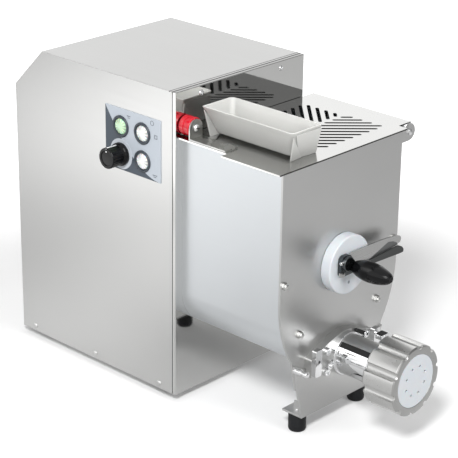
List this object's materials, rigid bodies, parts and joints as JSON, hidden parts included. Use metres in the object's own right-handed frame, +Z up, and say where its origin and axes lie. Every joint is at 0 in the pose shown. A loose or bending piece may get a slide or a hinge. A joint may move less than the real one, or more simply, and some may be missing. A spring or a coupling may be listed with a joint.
{
  "type": "pasta extruder",
  "caption": "Table-top pasta extruder with a stainless housing, a slotted hinged lid over a mixing tank, and a front barrel with ring nut and die, fed by a paddle and an auger.",
  "frame": {"origin": "centre of the bounding box at table level, under the feet", "axes": "+Z up; -Y the front, where the barrel and die point; +X the right side seen from the front, where the lid is hinged"},
  "size_m": [0.2962, 0.6432, 0.441],
  "materials": {
    "cover_steel": "fine brushed",
    "polished_steel": "mirror polished",
    "tank_steel": "satin",
    "sheet_steel": "satin",
    "nut_steel": "turned satin",
    "bright_chrome": "bright plated",
    "drive_steel": "machined and oiled",
    "cast_alloy": "as cast",
    "motor_paint": "semi-gloss",
    "bearing_bronze": "machined",
    "foot_rubber": "matt",
    "black_gloss": "glossy",
    "black_matt": "matt",
    "slate_plastic": "fine matt",
    "grey_plastic": "matt",
    "fascia_film": "printed matt film",
    "green_lens": "translucent",
    "white_lens": "translucent",
    "red_plastic": "glossy",
    "tray_plastic": "fine matt",
    "white_plastic": "machined matt"
  },
  "bodies": {
    "housing": {"cover_shell": "cover_steel", "front_panel": "polished_steel", "rear_panel": "sheet_steel", "base_plate": "sheet_steel", "housing_foot_front_left": "foot_rubber", "housing_foot_front_right": "foot_rubber", "housing_foot_rear_left": "foot_rubber", "housing_foot_rear_right": "foot_rubber", "panel_screw_left": "bright_chrome", "panel_screw_right": "bright_chrome", "cable_gland": "black_matt", "control_fascia": "fascia_film", "contact_carrier": "grey_plastic", "start_bezel": "slate_plastic", "stop_bezel": "slate_plastic", "mode_bezel": "slate_plastic", "selector_switch": "grey_plastic", "gearbox_case": "cast_alloy", "reducer_case": "cast_alloy", "control_plate": "grey_plastic", "interlock_sensor": "grey_plastic", "auger_bearing": "bearing_bronze", "mixer_bearing": "bearing_bronze", "motor_body": "motor_paint", "fan_cover": "motor_paint", "tank_body": "tank_steel", "tank_front_plate": "tank_steel", "dome_nut_upper_right": "bright_chrome", "dome_nut_upper_left": "bright_chrome", "dome_nut_lower_right": "bright_chrome", "dome_nut_lower_left": "bright_chrome", "front_leg": "tank_steel", "front_foot_left": "foot_rubber", "front_foot_right": "foot_rubber", "hinge_rod": "bright_chrome", "extruder_barrel": "bright_chrome", "clamp_block_left": "bright_chrome", "clamp_block_right": "bright_chrome", "bearing_disc": "white_plastic"},
    "auger_train": {"auger_drive_shaft": "drive_steel", "auger_screw": "tank_steel"},
    "mixer_train": {"mixer_drive_shaft": "drive_steel", "mixing_paddle": "tank_steel"},
    "fan": {"motor_fan": "black_matt"},
    "lid_panel": {"lid": "polished_steel", "lid_hinge_sleeve": "sheet_steel", "magnet_bracket": "sheet_steel", "interlock_magnet": "red_plastic", "magnet_screw": "bright_chrome"},
    "tray": {"feeder_tray": "tray_plastic"},
    "start_push": {"start_button": "green_lens"},
    "stop_push": {"stop_button": "white_lens"},
    "mode_push": {"mode_button": "white_lens"},
    "selector": {"selector_knob": "black_gloss"},
    "lock_lever": {"lever_hub": "drive_steel", "locking_lever": "sheet_steel"},
    "grip": {"oval_grip": "black_gloss"},
    "die": {"die_disc": "white_plastic"},
    "nut": {"ring_nut": "nut_steel"}
  },
  "joints": [
    {"name": "auger_spin", "type": "hinge", "parent": "housing", "child": "auger_train", "pos_m": [0.00348, -0.15595, 0.1006], "axis": [0, 1, 0], "continuous": true},
    {"name": "mixer_spin", "type": "hinge", "parent": "housing", "child": "mixer_train", "pos_m": [0.00348, -0.10595, 0.2266], "axis": [0, 1, 0], "continuous": true},
    {"name": "fan_spin", "type": "hinge", "parent": "housing", "child": "fan", "pos_m": [0.00348, 0.22405, 0.1006], "axis": [0, 1, 0], "continuous": true},
    {"name": "lid_hinge", "type": "hinge", "parent": "housing", "child": "lid_panel", "pos_m": [0.13487, -0.10595, 0.3716], "axis": [0, 1, 0], "range_deg": [0, 100]},
    {"name": "tray_lift", "type": "slide", "parent": "lid_panel", "child": "tray", "axis": [0, 0, 1], "range_m": [0, 0.12]},
    {"name": "start_press", "type": "slide", "parent": "housing", "child": "start_push", "axis": [1, 0, 0], "range_m": [0, 0.004], "stiffness_N_per_m": 350},
    {"name": "stop_press", "type": "slide", "parent": "housing", "child": "stop_push", "axis": [1, 0, 0], "range_m": [0, 0.004], "stiffness_N_per_m": 350},
    {"name": "mode_press", "type": "slide", "parent": "housing", "child": "mode_push", "axis": [1, 0, 0], "range_m": [0, 0.004], "stiffness_N_per_m": 350},
    {"name": "selector_turn", "type": "hinge", "parent": "housing", "child": "selector", "pos_m": [-0.13478, 0.08865, 0.3338], "axis": [1, 0, 0], "range_deg": [-60, 60]},
    {"name": "lever_turn", "type": "hinge", "parent": "housing", "child": "lock_lever", "pos_m": [0.00348, -0.20595, 0.2266], "axis": [0, -1, 0], "range_deg": [0, 90]},
    {"name": "grip_spin", "type": "hinge", "parent": "lock_lever", "child": "grip", "pos_m": [0.00348, -0.24595, 0.2266], "axis": [0, 1, 0], "continuous": true},
    {"name": "die_release", "type": "slide", "parent": "housing", "child": "die", "axis": [0, -1, 0], "range_m": [0, 0.06]},
    {"name": "ring_nut_turn", "type": "hinge", "parent": "die", "child": "nut", "pos_m": [0.00348, -0.29595, 0.1006], "axis": [0, 1, 0], "continuous": true}
  ],
  "couplings": [
    {"joint": "mixer_spin", "follows": "auger_spin", "ratio": -1.3333},
    {"joint": "fan_spin", "follows": "auger_spin", "ratio": 20}
  ]
}
